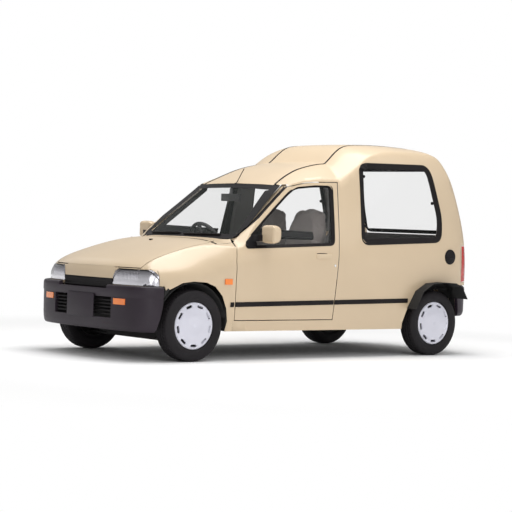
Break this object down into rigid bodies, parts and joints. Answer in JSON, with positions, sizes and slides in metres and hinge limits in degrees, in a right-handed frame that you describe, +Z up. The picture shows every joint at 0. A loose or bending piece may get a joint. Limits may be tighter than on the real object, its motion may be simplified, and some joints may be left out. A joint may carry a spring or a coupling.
{
  "type": "passenger car",
  "caption": "Small tall-roofed three-door van with a raised box over the load space, glazed sides, opening doors, bonnet and tailgate, steered front wheels and a furnished cabin.",
  "frame": {"origin": "on the ground under the middle of the car's length and width", "axes": "+X forward, +Y to the car's left, +Z up"},
  "size_m": [3.295, 1.636, 1.6114],
  "materials": {
    "body_paint": "gloss solid beige paint",
    "underbody": "matte black underseal",
    "bumper_plastic": "fine-grained dark grey plastic",
    "glazing": "light green tinted glass",
    "lamp_glass": "clear fluted lamp glass",
    "amber_lens": "amber lens",
    "red_lens": "red and amber lens",
    "tyre": "tyre rubber",
    "wheel_paint": "silver paint on wheel and cover",
    "chassis_steel": "satin black painted steel",
    "cast_engine": "cast housing",
    "exhaust_steel": "aluminised steel",
    "cabin_plastic": "grained cabin plastic",
    "seat_cloth": "woven dark grey seat cloth",
    "trim_plastic": "black trim plastic"
  },
  "bodies": {
    "body": {"floor_pan": "underbody", "front_frame": "body_paint", "side_frame_left": "body_paint", "side_frame_right": "body_paint", "rear_panel": "body_paint", "front_wings": "body_paint", "roof_panel": "body_paint", "nose_panel": "body_paint", "grille": "trim_plastic", "front_bumper": "bumper_plastic", "rear_bumper": "bumper_plastic", "headlamps": "lamp_glass", "turn_signals": "amber_lens", "tail_lamps": "red_lens", "windscreen": "glazing", "quarter_glass": "glazing", "dashboard": "cabin_plastic", "inside_mirror": "cabin_plastic", "front_seats": "seat_cloth", "steering_column": "cabin_plastic", "engine_block": "cast_engine", "lower_arms": "chassis_steel", "rear_axle": "chassis_steel", "exhaust": "exhaust_steel", "fuel_tank": "chassis_steel", "wipers": "trim_plastic", "filler_cap": "trim_plastic"},
    "left_door": {"door_left": "body_paint", "door_glass_left": "glazing", "door_mirror_left": "body_paint"},
    "right_door": {"door_right": "body_paint", "door_glass_right": "glazing", "door_mirror_right": "body_paint"},
    "bonnet_lid": {"bonnet": "body_paint"},
    "tail_door": {"tailgate": "body_paint", "tailgate_glass": "glazing"},
    "left_knuckle": {"knuckle_left": "chassis_steel"},
    "right_knuckle": {"knuckle_right": "chassis_steel"},
    "hand_wheel": {"steering_wheel": "cabin_plastic"},
    "front_left_wheel": {"wheel_front_left": "wheel_paint", "tyre_front_left": "tyre"},
    "front_right_wheel": {"wheel_front_right": "wheel_paint", "tyre_front_right": "tyre"},
    "rear_left_wheel": {"wheel_rear_left": "wheel_paint", "tyre_rear_left": "tyre"},
    "rear_right_wheel": {"wheel_rear_right": "wheel_paint", "tyre_rear_right": "tyre"}
  },
  "joints": [
    {"name": "left_door_swing", "type": "hinge", "parent": "body", "child": "left_door", "pos_m": [0.754, 0.652, 0.535], "axis": [0, 0, -1], "range_deg": [0, 60]},
    {"name": "right_door_swing", "type": "hinge", "parent": "body", "child": "right_door", "pos_m": [0.754, -0.652, 0.535], "axis": [0, 0, 1], "range_deg": [0, 60]},
    {"name": "bonnet_lift", "type": "hinge", "parent": "body", "child": "bonnet_lid", "pos_m": [0.878, 0, 0.836], "axis": [0, -1, 0], "range_deg": [0, 50]},
    {"name": "tail_door_lift", "type": "hinge", "parent": "body", "child": "tail_door", "pos_m": [-1.30452, 0, 1.536], "axis": [0, 1, 0], "range_deg": [0, 80]},
    {"name": "left_steer", "type": "hinge", "parent": "body", "child": "left_knuckle", "pos_m": [1.15, 0.55117, 0.25], "axis": [0, -0.1886, 0.9821], "range_deg": [-33.5, 33.5]},
    {"name": "right_steer", "type": "hinge", "parent": "body", "child": "right_knuckle", "pos_m": [1.15, -0.55117, 0.25], "axis": [0, 0.1886, 0.9821], "range_deg": [-33.5, 33.5]},
    {"name": "hand_wheel_turn", "type": "hinge", "parent": "body", "child": "hand_wheel", "pos_m": [0.3, -0.3, 0.796], "axis": [-0.8829, 0, 0.4695], "range_deg": [-594, 594]},
    {"name": "front_left_roll", "type": "hinge", "parent": "left_knuckle", "child": "front_left_wheel", "pos_m": [1.15, 0.605, 0.25], "axis": [0, 1, 0], "continuous": true},
    {"name": "front_right_roll", "type": "hinge", "parent": "right_knuckle", "child": "front_right_wheel", "pos_m": [1.15, -0.605, 0.25], "axis": [0, 1, 0], "continuous": true},
    {"name": "rear_left_roll", "type": "hinge", "parent": "body", "child": "rear_left_wheel", "pos_m": [-1.185, 0.605, 0.25], "axis": [0, 1, 0], "continuous": true},
    {"name": "rear_right_roll", "type": "hinge", "parent": "body", "child": "rear_right_wheel", "pos_m": [-1.185, -0.605, 0.25], "axis": [0, 1, 0], "continuous": true}
  ],
  "couplings": [
    {"joint": "left_steer", "follows": "hand_wheel_turn", "ratio": 0.055556},
    {"joint": "right_steer", "follows": "hand_wheel_turn", "ratio": 0.055556}
  ]
}
